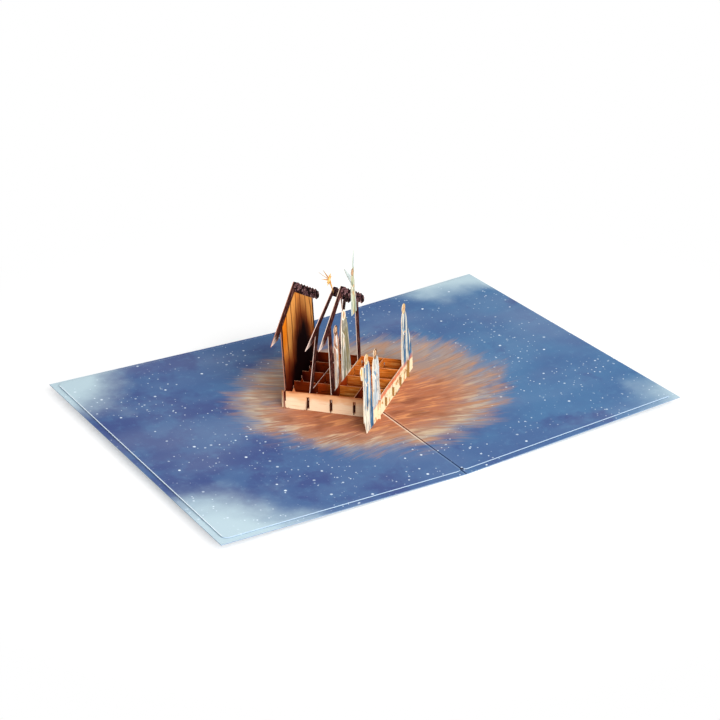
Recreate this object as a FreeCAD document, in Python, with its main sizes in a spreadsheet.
import FreeCAD, Part
import math
import os
import re
import Sketcher

# A pop up card lying open: a folded cover, a folded liner with rounded corners, and a box of
# crossing card slats that stands over the fold. The slats carry a stable's gables, robed
# figures, a comet star and a winged figure.
# Millimetres. The fold runs along Y with its lowest line on z = 0, X is across the two panels.

os.makedirs("parts", exist_ok=True)
doc = FreeCAD.newDocument("pop_up_card")
sheet = doc.addObject("Spreadsheet::Sheet", "sizes")

SIZES = {
    # Cover and liner
    "panel_width": (127.0, "one panel, from the fold to its outer edge"),
    "card_length": (178.0, "card along the fold"),
    "panel_rise": (1.92, "degrees that each panel rises from the fold"),
    "cover_thickness": (0.35, "cover sheet"),
    "liner_thickness": (0.4, "liner sheet"),
    "liner_margin": (3.0, "cover seen outside the liner"),
    "liner_corner": (3.0, "radius of the liner's corners"),
    "crease_width": (0.8, "scored groove in the liner"),
    "crease_depth": (0.12, "depth of that groove"),
    # Lattice of slats
    "slat_thickness": (0.3, "card of every slat"),
    "cell": (11.45, "pitch of the slats"),
    "corner_x": (-38.6, "left corner of the box"),
    "corner_y": (8.9, "left corner of the box"),
    "front_turn": (-45.0, "heading of the front and back walls"),
    "side_turn": (39.0, "heading of the gables and the right wall"),
    "wall_top": (11.3, "height of the walls over the table"),
    "lap_level": (6.0, "height where two crossing slats meet"),
    "lap_clearance": (0.1, "play at that level"),
    "slot_width": (1.1, "slots and windows, wide enough for a leaning slat"),
    "corner_stub": (1.6, "outer wall beyond the corner"),
    "end_clearance": (0.35, "between an inner slat's end and the outer wall"),
    "foot_clearance": (0.05, "between a slat and the liner"),
    # Windows of the outer walls and the tongues in them
    "window_low": (3.2, "sill of a window"),
    "window_height": (5.6, "window"),
    "tongue_clearance": (0.15, "tongue over the sill"),
    "tongue_height": (3.9, "tongue at its neck"),
    "hook_drop": (0.8, "hook below the neck"),
    "hook_reach": (0.6, "hook beyond the wall"),
    # Small pointed tips on the front slats
    "tip_place": (4.4, "tip from the left gable"),
    "tip_height": (2.2, "tip over the slat"),
    "tip_width": (1.6, "tip at its foot"),
    # Glued feet of the four outer walls
    "tab_width": (7.0, "foot along the wall"),
    "foot_depth": (5.0, "foot under the liner"),
    "slit_width": (1.2, "slit in the liner"),
    "slit_clearance": (0.4, "slit beyond each end of the foot"),
    # How far each cross slat leans in its loose slots
    "lean_level": (6.0, "height about which a slat leans"),
    "gable_lean": (-3.0, "left gable"),
    "second_lean": (6.2, "second gable"),
    "third_lean": (-2.5, "third gable"),
    "fourth_lean": (-1.0, "low cross slat"),
    "right_lean": (-2.0, "right wall"),
    # Gables
    "peak_place": (21.6, "ridge, from the front wall"),
    "peak_height": (59.6, "ridge over the table"),
    "roof_pitch": (29.5, "slope of both rafters"),
    "rafter_width": (4.8, "rafter across its slope"),
    "eave_near": (12.6, "pointed eave in front of the front wall"),
    "eave_taper": (9.0, "length of that eave's taper"),
    "eave_far": (7.6, "blunt eave behind the back wall"),
    "post_inset": (0.9, "post from the wall's centre line"),
    "post_width": (4.6, "gable post"),
    "thatch_depth": (4.0, "far rafter across its slope"),
    "thatch_pitch": (3.6, "spacing of the straw bundles on the far rafter"),
    "thatch_bump": (0.7, "how far a bundle stands proud"),
    "hanger_width": (2.2, "peg under the third gable's ridge"),
    "hanger_length": (7.0, "that peg"),
    # Comet star on the second gable
    "star_lead": (9.0, "heart of the star, in front of the ridge"),
    "star_rise": (7.6, "heart of the star over the ridge"),
    "star_slope": (147.5, "heading of the tail"),
    "star_tail": (21.8, "middle ray of the tail"),
    "star_side_tail": (14.5, "outer rays of the tail"),
    "star_spread": (8.5, "degrees between the tail's rays"),
    "star_ray": (3.0, "short rays"),
    "star_heart": (1.7, "between the rays"),
    "star_seat": (3.9, "tip of the ray that is glued on, below the ridge"),
    "star_stem_slope": (310.0, "heading of that ray"),
    # Robed figures: place along the slat, top, hem, shoulders and head
    "robe_front_place": (-13.6, "foremost figure of the right wall"),
    "robe_front_top": (41.8, "its crown over the table"),
    "robe_front_hem": (12.5, "its hem"),
    "robe_front_shoulders": (9.0, "its shoulders"),
    "robe_second_place": (-0.9, "second figure of the right wall"),
    "robe_second_top": (38.8, "its crown"),
    "robe_second_hem": (10.5, "its hem"),
    "robe_second_shoulders": (8.4, "its shoulders"),
    "robe_back_place": (47.6, "figure at the back of the right wall"),
    "robe_back_top": (42.8, "its crown"),
    "robe_back_hem": (16.5, "its hem"),
    "robe_back_shoulders": (7.6, "its shoulders"),
    "robe_back_sway": (-3.6, "its head against its hem"),
    "robe_small_place": (11.4, "smaller figure under the third gable"),
    "robe_small_top": (43.2, "its crown"),
    "robe_small_hem": (8.0, "its hem"),
    "robe_small_shoulders": (6.2, "its shoulders"),
    "robe_hooded_place": (23.4, "hooded figure under the third gable"),
    "robe_hooded_top": (46.2, "its crown"),
    "robe_hooded_hem": (13.0, "its hem"),
    "robe_hooded_shoulders": (9.0, "its shoulders"),
    "head_radius": (2.4, "head of a figure"),
    "gift_reach": (8.8, "held gift, from the foremost figure's middle"),
    "gift_level": (36.0, "held gift over the table"),
    "gift_radius": (2.1, "held gift"),
    # Winged figure on the far rafter of the third gable
    "angel_place": (37.6, "its middle, from the front wall"),
    "angel_drop": (12.3, "its hem below the roof"),
    "angel_rise": (11.3, "its crown over the roof"),
    "angel_hem": (7.0, "its hem"),
    "angel_shoulders": (4.4, "its shoulders"),
    "angel_head": (1.6, "its head"),
    "wing_root": (4.1, "where the wings start over the roof"),
    "wing_span": (10.6, "near wing's tip from the middle"),
    "wing_rise": (11.4, "near wing's tip over its root"),
    "wing_far_span": (3.6, "far wing's tip from the middle"),
    "wing_far_rise": (15.6, "far wing's tip over its root"),
    "wing_width": (2.2, "wing at its root"),
}
CELLS = 4
SAME = 0.001

for row, (alias, (number, meaning)) in enumerate(SIZES.items(), 1):
    sheet.set(f"A{row}", alias)
    sheet.set(f"B{row}", str(number))
    sheet.set(f"C{row}", meaning)
    sheet.setAlias(f"B{row}", alias)
doc.recompute()


def bind(text):
    """The same sum with every size named as a cell of the sheet."""
    return re.sub(r"[a-z_]+", lambda found: ("sizes." if found[0] in SIZES else "") + found[0], text)


def value(text):
    """What a sum of sizes comes to."""
    return float(sheet.evalExpression(bind(text)))


# Levels and lengths that several pieces share
SIDE = f"({CELLS} * cell)"
STACK = "((cover_thickness + slat_thickness + liner_thickness) / cos(panel_rise) + foot_clearance)"
NECK_LEVEL = "((cover_thickness + slat_thickness / 2) / cos(panel_rise))"
TONGUE_LOW = "(window_low + tongue_clearance)"
TONGUE_TOP = f"({TONGUE_LOW} + tongue_height)"
WINDOW_MIDDLE = "(window_low + window_height / 2)"
LAP_MIDDLE = "((lap_level + wall_top) / 2)"
LEANS = ["gable_lean", "second_lean", "third_lean", "fourth_lean", "right_lean"]


class Slat:
    """Where a slat stands: its origin, heading and lean, as sums of sizes."""

    def __init__(self, across, number):
        self.lean = "0" if across else LEANS[number]
        self.turn = "front_turn" if across else "side_turn"
        other = "side_turn" if across else "front_turn"
        drift = f"lean_level * tan({self.lean})"
        self.x = f"(corner_x + {number} * cell * cos({other}) - {drift} * sin({self.turn}))"
        self.y = f"(corner_y + {number} * cell * sin({other}) + {drift} * cos({self.turn}))"

    def ground(self, along, level):
        """Height of the tilted panels under a place along the slat, over a level at the fold."""
        return f"({level} + abs({self.x} + ({along}) * cos({self.turn})) * tan(panel_rise))"

    def placement(self, layer=0):
        """The slat's placement, moved by whole sheet thicknesses to its right hand face."""
        own = f"placement(vector({self.x}; {self.y}; 0); rotation({self.turn}; 0; {self.lean}))"
        side = f"placement(vector(0; -{layer} * slat_thickness; 0); rotation(0; 0; 0))"
        return bind(f"{own} * {side}" if layer else own)


def drift_at(number, level):
    """How far a leaning cross slat stands off its mark at a height."""
    return f"(({level}) - lean_level) * tan({LEANS[number]})"


def closed_outline(sketch, corners):
    """Straight lines through the corners, each corner tied to its two sums of sizes."""
    first = sketch.GeometryCount
    places = [FreeCAD.Vector(value(x), value(y), 0) for x, y in corners]
    apart = [not place.isEqual(places[i - 1], SAME) for i, place in enumerate(places)]
    corners = [corner for corner, kept in zip(corners, apart) if kept]
    places = [place for place, kept in zip(places, apart) if kept]
    count = len(corners)
    lines = [Part.LineSegment(places[i], places[(i + 1) % count]) for i in range(count)]
    sketch.addGeometry(lines, False)
    joins = [(first + i, first + (i + 1) % count) for i in range(count)]
    sketch.addConstraint([Sketcher.Constraint("Coincident", line, 2, after, 1) for line, after in joins])
    start = sketch.ConstraintCount
    ties = []
    for i, place in enumerate(places):
        ties.append(Sketcher.Constraint("DistanceX", -1, 1, first + i, 1, place.x))
        ties.append(Sketcher.Constraint("DistanceY", -1, 1, first + i, 1, place.y))
    sketch.addConstraint(ties)
    for i, corner in enumerate(corners):
        for offset, text in enumerate(corner):
            sketch.setExpression(f"Constraints[{start + 2 * i + offset}]", bind(text))


def cut_sheet(name, loops, thickness, plane="XZ_Plane"):
    """A body cut from sheet: the first loop is its outline, the others are openings."""
    body = doc.addObject("PartDesign::Body", name)
    sketch = body.newObject("Sketcher::SketchObject", name + "_outline")
    support = [f for f in body.Origin.OriginFeatures if f.Role == plane][0]
    sketch.AttachmentSupport = [(support, "")]
    sketch.MapMode = "FlatFace"
    for loop in loops:
        closed_outline(sketch, loop)
    pad = body.newObject("PartDesign::Pad", name + "_sheet")
    pad.Profile = sketch
    pad.SideType = "Symmetric"
    pad.setExpression("Length", bind(thickness))
    return body


# Edges of a slat, each a list of corners from left to right

def bottom_edge(slat, start, end, slots=(), tab=None):
    """Follows the two panels, with half lap slots cut up into it and a tab's neck hanging down."""
    pieces = [(value(start), [(start, slat.ground(start, STACK))])]
    for centre in slots:
        left = f"({centre} - slot_width / 2)"
        right = f"({centre} + slot_width / 2)"
        notch = [(left, slat.ground(left, STACK)), (left, "lap_level")]
        notch += [(right, "lap_level"), (right, slat.ground(right, STACK))]
        pieces.append((value(centre), notch))
    if tab:
        left = f"({tab} - tab_width / 2)"
        right = f"({tab} + tab_width / 2)"
        neck = [(left, slat.ground(left, STACK)), (left, slat.ground(left, NECK_LEVEL))]
        neck += [(right, slat.ground(right, NECK_LEVEL)), (right, slat.ground(right, STACK))]
        pieces.append((value(tab), neck))
    fold = f"(-{slat.x} / cos({slat.turn}))"
    inside = value(start) < value(fold) < value(end)
    if inside and all(abs(place - value(fold)) > value("slot_width") for place, _ in pieces):
        pieces.append((value(fold), [(fold, STACK)]))
    pieces.append((value(end), [(end, slat.ground(end, STACK))]))
    pieces.sort(key=lambda piece: piece[0])
    return [corner for _, corners in pieces for corner in corners]


def top_edge(start, end, slots=(), tip=None):
    """Level with the wall's top, with half lap slots cut down into it and a small pointed tip."""
    low = "(lap_level - lap_clearance)"
    pieces = [(value(start), [(start, "wall_top")])]
    for centre in slots:
        left = f"({centre} - slot_width / 2)"
        right = f"({centre} + slot_width / 2)"
        notch = [(left, "wall_top"), (left, low), (right, low), (right, "wall_top")]
        pieces.append((value(centre), notch))
    if tip:
        point = [(f"({tip} - tip_width / 2)", "wall_top"), (tip, "(wall_top + tip_height)")]
        point.append((f"({tip} + tip_width / 2)", "wall_top"))
        pieces.append((value(tip), point))
    pieces.append((value(end), [(end, "wall_top")]))
    pieces.sort(key=lambda piece: piece[0])
    return [corner for _, corners in pieces for corner in corners]


def tongue(end, outward):
    """A hooked tongue that goes through the outer wall's window, from its sill side up."""
    face = f"({end} + {outward} * (2 * end_clearance + slat_thickness))"
    reach = f"({face} + {outward} * hook_reach)"
    low = f"({TONGUE_LOW} - hook_drop)"
    hook = [(face, TONGUE_LOW), (face, low), (reach, low), (reach, TONGUE_TOP)]
    return [(end, TONGUE_LOW)] + hook + [(end, TONGUE_TOP)]


def window(centre):
    """A window in an outer wall."""
    left = f"({centre} - slot_width / 2)"
    right = f"({centre} + slot_width / 2)"
    high = "(window_low + window_height)"
    return [(left, "window_low"), (right, "window_low"), (right, high), (left, high)]


def roof_line(along, depth):
    """Height of the roof's upper edge, or of a line that lies lower by a depth across the slope."""
    return f"(peak_height - abs(({along}) - peak_place) * tan(roof_pitch) - ({depth}) / cos(roof_pitch))"


RIDGE_UNDER = "((rafter_width + thatch_depth) / 2)"


def roof_edge(near_post, far_post):
    """From the far post's outer edge up round the whole roof to the near post's outer edge."""
    far_end = f"({SIDE} + eave_far)"
    near_end = "(-eave_near)"
    taper = f"({near_end} + eave_taper)"
    count = int((value(far_end) - value("peak_place")) / value("thatch_pitch"))
    bundles = [f"({far_end} - {step} * thatch_pitch)" for step in range(1, count)]
    hollows = [f"({place} + thatch_pitch / 2)" for place in bundles]
    edge = [(far_post, roof_line(far_post, "thatch_depth"))]
    beyond = [pair for pair in zip(bundles, hollows) if value(pair[0]) > value(far_post)]
    for bundle, hollow in reversed(beyond):
        edge.append((bundle, roof_line(bundle, "thatch_depth + thatch_bump")))
        edge.append((hollow, roof_line(hollow, "thatch_depth")))
    edge.append((far_end, roof_line(far_end, "thatch_depth - thatch_bump")))
    edge.append((f"({far_end} + thatch_bump)", roof_line(far_end, "thatch_depth / 2")))
    edge.append((far_end, roof_line(far_end, "thatch_bump / 2")))
    for bundle, hollow in zip(bundles, hollows):
        edge.append((hollow, roof_line(hollow, "thatch_bump / 2")))
        edge.append((bundle, roof_line(bundle, "-thatch_bump / 2")))
    edge += [("peak_place", "peak_height"), (near_end, roof_line(near_end, "0"))]
    edge += [(taper, roof_line(taper, "rafter_width")), (near_post, roof_line(near_post, "rafter_width"))]
    return edge


def gable_opening(hanger):
    """The opening between posts, wall top and rafters, with a peg under the ridge or without."""
    near = "(post_inset + post_width)"
    far = f"({SIDE} - post_inset - post_width)"
    loop = [(near, "wall_top"), (far, "wall_top"), (far, roof_line(far, "thatch_depth"))]
    if hanger:
        right = "(peak_place + hanger_width / 2)"
        left = "(peak_place - hanger_width / 2)"
        point = f"({roof_line('peak_place', RIDGE_UNDER)} - hanger_length)"
        loop += [(right, roof_line(right, RIDGE_UNDER)), ("peak_place", point)]
        loop.append((left, roof_line(left, RIDGE_UNDER)))
    else:
        loop.append(("peak_place", roof_line("peak_place", RIDGE_UNDER)))
    loop.append((near, roof_line(near, "rafter_width")))
    return loop


# Curved outlines of the figures, filled to a face and given the sheet's thickness

def spot(x, z):
    """A point of the slat's left hand face."""
    return FreeCAD.Vector(x, -value("slat_thickness") / 2, z)


def smooth(points):
    """A curve through points of that face."""
    curve = Part.BSplineCurve()
    curve.interpolate([spot(x, z) for x, z in points])
    return curve.toShape()


def cut_figure(name, edges, slat, layer=0):
    """A flat figure cut along its edges, in the plane of a slat or glued to its right hand face."""
    face = Part.Face(Part.Wire(Part.sortEdges(edges)[0]))
    figure = doc.addObject("Part::Feature", name)
    figure.Shape = face.extrude(FreeCAD.Vector(0, value("slat_thickness"), 0))
    figure.Placement = sheet.evalExpression(slat.placement(layer))
    return figure


# Levels up a robe as shares of its height, and how much of the hem's flare is left at them
KNEE, HIP, ELBOW, CHEST, COLLAR = 0.28, 0.5, 0.64, 0.76, 0.84
KNEE_FLARE, HIP_FLARE = 0.82, 0.42
# Elbows and collar as shares of the shoulders, and where head or hood meets the collar
ELBOW_SHARE, COLLAR_SHARE = 1.16, 0.74
NECK_ANGLE, HOOD_ANGLE = -38, 20


def robed_edges(place, low, top, hem, shoulders, head, sway=0.0, hooded=False):
    """A robed figure: a flaring robe, rounded shoulders, and a head or a hood on top."""
    height = top - low
    middle = place + sway
    meeting = math.radians(HOOD_ANGLE if hooded else NECK_ANGLE)
    neck_x = head * math.cos(meeting)
    neck_z = top - head + head * math.sin(meeting)
    widths = {
        0: hem,
        KNEE: KNEE_FLARE * hem + (1 - KNEE_FLARE) * shoulders,
        HIP: HIP_FLARE * hem + (1 - HIP_FLARE) * shoulders,
        ELBOW: ELBOW_SHARE * shoulders,
        CHEST: shoulders,
        COLLAR: head + shoulders / 2 if hooded else COLLAR_SHARE * shoulders}
    edges = []
    for side in (-1, 1):
        robe = []
        for level, width in widths.items():
            robe.append((place + min(level / CHEST, 1) * sway + side * width / 2, low + level * height))
        robe.append((middle + side * neck_x, neck_z))
        edges.append(smooth(robe))
    crown = Part.Arc(spot(middle - neck_x, neck_z), spot(middle, top), spot(middle + neck_x, neck_z))
    edges.append(crown.toShape())
    edges.append(Part.makeLine(spot(place - hem / 2, low), spot(place + hem / 2, low)))
    return edges


def wing_edges(root_x, root_z, tip_x, tip_z, width):
    """A wing: two curves that bow away from each other between its root and its tip."""
    run = FreeCAD.Vector(tip_x - root_x, 0, tip_z - root_z)
    across = FreeCAD.Vector(-run.z, 0, run.x).normalize()
    root = spot(root_x, root_z)
    ends = [root - across * width / 2, root + across * width / 2]
    tip = root + run
    edges = [Part.makeLine(ends[0], ends[1])]
    for end, side in zip(ends, (-1, 1)):
        middle = (end + tip) / 2 + across * width * side / 4
        edges.append(smooth([(end.x, end.z), (middle.x, middle.z), (tip.x, tip.z)]))
    return edges


# Folded sheets

def folded_sheet(name, low, thickness, width, length, crease_width="0", crease_depth="0"):
    """A sheet folded at the middle: a shallow V section padded along the fold."""
    run = f"({width}) * cos(panel_rise)"
    rise = f"({width}) * sin(panel_rise)"
    high = f"({low} + {thickness})"
    right = [(f"{run} - {low} * sin(panel_rise)", f"{rise} + {low} * cos(panel_rise)")]
    right.append((f"{run} - {high} * sin(panel_rise)", f"{rise} + {high} * cos(panel_rise)"))
    if value(crease_width):
        slope = f"{high} / cos(panel_rise) + {crease_width} / 2 * tan(panel_rise)"
        right.append((f"{crease_width} / 2", slope))
    left = [(f"-({x})", z) for x, z in reversed(right)]
    loop = [("0", f"{low} / cos(panel_rise)")] + right
    loop += [("0", f"{high} / cos(panel_rise) - {crease_depth}")] + left
    return cut_sheet(name, [loop], length)


def corner_tool(name, place_x, front):
    """What rounding a sheet's end takes off at one place: a block less two round posts."""
    way = -1 if front else 1
    end = f"{way} * (card_length / 2 - liner_margin)"
    block = doc.addObject("Part::Box", name + "_block")
    block.setExpression("Length", bind("2 * liner_corner"))
    block.setExpression("Width", bind("2 * liner_corner"))
    block.setExpression("Height", "sizes.wall_top")
    posts = []
    for side in (-1, 1):
        post = doc.addObject("Part::Cylinder", f"{name}_post_{'left' if side < 0 else 'right'}")
        post.setExpression("Radius", "sizes.liner_corner")
        post.setExpression("Height", "sizes.wall_top")
        where = f"vector({place_x} + {side} * liner_corner; {end} - {way} * liner_corner; 0)"
        post.setExpression("Placement", bind(f"placement({where}; rotation(0; 0; 0))"))
        posts.append(post)
    where = f"vector({place_x} - liner_corner; {end} - liner_corner; 0)"
    block.setExpression("Placement", bind(f"placement({where}; rotation(0; 0; 0))"))
    rest = doc.addObject("Part::MultiFuse", name + "_posts")
    rest.Shapes = posts
    tool = doc.addObject("Part::Cut", name)
    tool.Base = block
    tool.Tool = rest
    return tool


# Cover: the outer sheet, folded once
cover = folded_sheet("cover", "0", "cover_thickness", "panel_width", "card_length")

# Both families of slats, and where their sheets start and end
across = [Slat(True, number) for number in range(CELLS + 1)]
along = [Slat(False, number) for number in range(CELLS + 1)]
inner_start = "(slat_thickness / 2 + end_clearance)"
inner_end = f"({SIDE} - slat_thickness / 2 - end_clearance)"
outer_start = "(-corner_stub)"
outer_end = f"({SIDE} + corner_stub)"

# Middles of the glued feet, each between two crossings
TABS = {
    "front_wall": "0.5 * cell",
    "back_wall": "3.5 * cell",
    "left_gable": "1.5 * cell",
    "right_wall": "2.5 * cell"}

# Front, inner and back slats, which run from the left gable to the right wall
across_nodes = {}
for number, slat in enumerate(across):
    outer = number in (0, CELLS)
    marks = [f"({k} * cell + {drift_at(k, LAP_MIDDLE)})" for k in range(CELLS + 1)]
    tip = "tip_place" if number < 3 else None
    if outer:
        name = "back_wall" if number else "front_wall"
        low = bottom_edge(slat, outer_start, outer_end, tab=TABS[name])
        high = top_edge(outer_start, outer_end, [marks[0], marks[CELLS]], tip)
        holes = [window(f"({k} * cell + {drift_at(k, WINDOW_MIDDLE)})") for k in range(1, CELLS)]
        body = cut_sheet(name + "_sheet", [low + high[::-1]] + holes, "slat_thickness")
    else:
        name = f"lattice_slat_{number + 1}"
        low = bottom_edge(slat, inner_start, inner_end)
        high = top_edge(inner_start, inner_end, marks[1:CELLS], tip)
        loop = low + tongue(inner_end, 1) + high[::-1] + tongue(inner_start, -1)[::-1]
        body = cut_sheet(name, [loop], "slat_thickness")
    body.setExpression("Placement", slat.placement())
    across_nodes[name] = body

# Left gable: a boarded house front, the outer wall on the left
slat = along[0]
ends = [f"{k} * cell" for k in (0, CELLS)]
holes = [window(f"({k} * cell)") for k in range(1, CELLS)]
near_post = "post_inset"
far_post = f"({SIDE} - post_inset)"
low = bottom_edge(slat, outer_start, outer_end, ends, TABS["left_gable"])
shoulder = [(outer_end, "wall_top"), (far_post, "wall_top")]
loop = low + shoulder + roof_edge(near_post, far_post) + [(near_post, "wall_top"), (outer_start, "wall_top")]
left_gable_sheet = cut_sheet("left_gable_sheet", [loop] + holes, "slat_thickness")
left_gable_sheet.setExpression("Placement", slat.placement())

# Open gables: two posts and two rafters on a low slat
gables = {}
inner_marks = [f"{k} * cell" for k in range(1, CELLS)]
for number, name in ((1, "gable_frame_2"), (2, "gable_frame_3_sheet")):
    slat = along[number]
    low = bottom_edge(slat, inner_start, inner_end, inner_marks)
    start = [(inner_start, "wall_top"), (near_post, "wall_top")]
    loop = low + tongue(inner_end, 1) + [(inner_end, "wall_top"), (far_post, "wall_top")]
    loop += roof_edge(near_post, far_post) + start[::-1] + tongue(inner_start, -1)[::-1]
    gables[name] = cut_sheet(name, [loop, gable_opening(number == 2)], "slat_thickness")
    gables[name].setExpression("Placement", slat.placement())

# Low cross slat
slat = along[3]
low = bottom_edge(slat, inner_start, inner_end, inner_marks)
high = top_edge(inner_start, inner_end)
loop = low + tongue(inner_end, 1) + high[::-1] + tongue(inner_start, -1)[::-1]
cross_slat = cut_sheet("lattice_cross_slat", [loop], "slat_thickness")
cross_slat.setExpression("Placement", slat.placement())

# Right wall: a strip that runs on under the figures at both ends
slat = along[CELLS]
strip_start = "(robe_front_place - robe_front_hem / 2)"
strip_end = "(robe_back_place + robe_back_hem / 2)"
low = bottom_edge(slat, "(robe_front_place - robe_front_hem / 4)", strip_end, ends, TABS["right_wall"])
high = top_edge(strip_start, strip_end)
right_strip = cut_sheet("right_wall_sheet", [low + high[::-1]] + holes, "slat_thickness")
right_strip.setExpression("Placement", slat.placement())


def standing(slat, name, sway="0", hooded=False):
    """One robed figure, which grows out of its slat over the half lap slots."""
    edges = robed_edges(
        value(f"{name}_place"), value(LAP_MIDDLE), value(f"{name}_top"), value(f"{name}_hem"),
        value(f"{name}_shoulders"), value("head_radius"), value(sway), hooded)
    return cut_figure(name, edges, slat)


def gift(slat):
    """What the foremost figure holds out: a round parcel on a draped sleeve."""
    radius = value("gift_radius")
    middle = value("robe_front_place")
    level = value("gift_level")
    wrist = middle - value("gift_reach") + radius
    ring = Part.Circle(spot(wrist, level), FreeCAD.Vector(0, 1, 0), radius)
    parcel = cut_figure("gift_parcel", [ring.toShape()], slat)
    corners = [(middle, level - 4 * radius), (middle, level), (wrist, level + radius / 2)]
    corners += [(wrist - radius, level), (wrist - radius / 2, level - 2 * radius)]
    points = [spot(x, z) for x, z in corners]
    lines = [Part.makeLine(points[i - 1], points[i]) for i in range(len(points))]
    return [parcel, cut_figure("gift_sleeve", lines, slat)]


def fused(name, parts):
    """Several overlapping shapes of one sheet made one piece."""
    piece = doc.addObject("Part::MultiFuse", name)
    piece.Shapes = parts
    piece.Refine = True
    return piece


def foot(name, body, slat, side):
    """The glued foot of an outer wall: a small plate between cover and liner, on its panel."""
    base = sheet.evalExpression(slat.placement()).Base
    turn = value(slat.turn)
    tab = value(TABS[name])
    middle_x = base.x + tab * math.cos(math.radians(turn))
    slope = value("panel_rise") * (1 if middle_x < 0 else -1)
    tilt = FreeCAD.Placement(FreeCAD.Vector(), FreeCAD.Rotation(FreeCAD.Vector(0, 1, 0), slope))
    flat = FreeCAD.Vector(base.x / math.cos(math.radians(slope)), base.y, value("cover_thickness"))
    heading = FreeCAD.Placement(flat, FreeCAD.Rotation(turn, 0, 0))
    edge = -value("slat_thickness") / 2 if side > 0 else value("slat_thickness") / 2 - value("foot_depth")
    corner = FreeCAD.Placement(FreeCAD.Vector(tab - value("tab_width") / 2, edge, 0), FreeCAD.Rotation())
    plate = doc.addObject("Part::Box", name + "_foot")
    plate.setExpression("Length", "sizes.tab_width")
    plate.setExpression("Width", "sizes.foot_depth")
    plate.setExpression("Height", "sizes.slat_thickness")
    plate.Placement = tilt * heading * corner
    slit = doc.addObject("Part::Box", name + "_slit")
    slit.setExpression("Length", bind("tab_width + 2 * slit_clearance"))
    slit.setExpression("Width", "sizes.slit_width")
    slit.setExpression("Height", "sizes.wall_top")
    own = f"placement(vector({slat.x}; {slat.y}; 0); rotation({slat.turn}; 0; 0))"
    start = f"vector({TABS[name]} - tab_width / 2 - slit_clearance; -slit_width / 2; 0)"
    slit.setExpression("Placement", bind(f"{own} * placement({start}; rotation(0; 0; 0))"))
    return fused(name, [body, plate]), slit


third_figures = [standing(along[2], "robe_small"), standing(along[2], "robe_hooded", hooded=True)]
gable_frame_3 = fused("gable_frame_3", [gables["gable_frame_3_sheet"]] + third_figures)
right_figures = [
    standing(along[CELLS], "robe_front"),
    standing(along[CELLS], "robe_second"),
    standing(along[CELLS], "robe_back", sway="robe_back_sway")]
right_body = fused("right_wall_body", [right_strip] + right_figures + gift(along[CELLS]))

front_wall, front_slit = foot("front_wall", across_nodes["front_wall"], across[0], 1)
back_wall, back_slit = foot("back_wall", across_nodes["back_wall"], across[CELLS], -1)
left_gable, left_slit = foot("left_gable", left_gable_sheet, along[0], -1)
right_wall, right_slit = foot("right_wall", right_body, along[CELLS], 1)

# Comet star: rays round a heart, the long ones making the tail, one glued to the ridge
rays = [("star_slope", "star_tail"), ("(star_slope + star_spread)", "star_side_tail")]
rays += [(f"(star_slope + {45 * k})", "star_ray") for k in (1, 2, 3)]
rays += [("star_stem_slope", "(-(star_rise + star_seat) / sin(star_stem_slope))")]
rays += [(f"(star_slope + {45 * k})", "star_ray") for k in (5, 6, 7)]
rays += [("(star_slope + 360 - star_spread)", "star_side_tail")]
loop = []
for index, (heading, length) in enumerate(rays):
    following = rays[(index + 1) % len(rays)][0] if index + 1 < len(rays) else "(star_slope + 360)"
    between = f"(({heading} + {following}) / 2)"
    for angle, radius in ((heading, length), (between, "star_heart")):
        reach = f"peak_place - star_lead + {radius} * cos({angle})"
        loop.append((reach, f"peak_height + star_rise + {radius} * sin({angle})"))
comet_star = cut_sheet("comet_star", [loop], "slat_thickness")
comet_star.setExpression("Placement", along[1].placement(1))

# Winged figure on the third gable
roof = roof_line("angel_place", "0")
body_edges = robed_edges(
    value("angel_place"), value(f"{roof} - angel_drop"), value(f"{roof} + angel_rise"), value("angel_hem"),
    value("angel_shoulders"), value("angel_head"))
angel_parts = [cut_figure("winged_robe", body_edges, along[2], 1)]
wings = {"near_wing": ("-wing_span", "wing_rise"), "far_wing": ("wing_far_span", "wing_far_rise")}
for name, (span, rise) in wings.items():
    start = value("angel_place"), value(f"{roof} + wing_root")
    tip = value(f"angel_place + {span}"), value(f"{roof} + wing_root + {rise}")
    edges = wing_edges(*start, *tip, value("wing_width"))
    angel_parts.append(cut_figure(name, edges, along[2], 1))
winged_figure = fused("winged_figure", angel_parts)

# Liner: a folded sheet with rounded corners, a scored fold and four slits
liner_low = "(cover_thickness + slat_thickness)"
liner_slab = folded_sheet(
    "liner_sheet", liner_low, "liner_thickness", "(panel_width - liner_margin)",
    "(card_length - 2 * liner_margin)", "crease_width", "crease_depth")
outer_x = "((panel_width - liner_margin) * cos(panel_rise))"
tools = [front_slit, back_slit, left_slit, right_slit]
for front in (True, False):
    for where, place_x in (("left", f"(-{outer_x})"), ("fold", "0"), ("right", outer_x)):
        tools.append(corner_tool(f"{'front' if front else 'back'}_{where}_corner", place_x, front))
taken = doc.addObject("Part::MultiFuse", "liner_cuts")
taken.Shapes = tools
liner = doc.addObject("Part::Cut", "liner")
liner.Base = liner_slab
liner.Tool = taken

doc.recompute()
nodes = [cover, liner, front_wall]
nodes += [across_nodes[f"lattice_slat_{number + 1}"] for number in range(1, CELLS)]
nodes += [back_wall, left_gable, gables["gable_frame_2"], gable_frame_3, cross_slat]
nodes += [right_wall, comet_star, winged_figure]

for item in doc.Objects:
    if "Invalid" in item.State or "Error" in item.State:
        raise SystemExit(f"{item.Label} did not build: {item.State}")
for node in nodes:
    shape = node.Shape
    if shape.isNull() or not shape.isValid() or len(shape.Solids) != 1:
        raise SystemExit(f"{node.Label} is not one valid solid")
    shape.exportStep(f"parts/{node.Label}.step")
    print(f"{node.Label:20s} volume {shape.Volume:9.2f}  box {shape.BoundBox}")
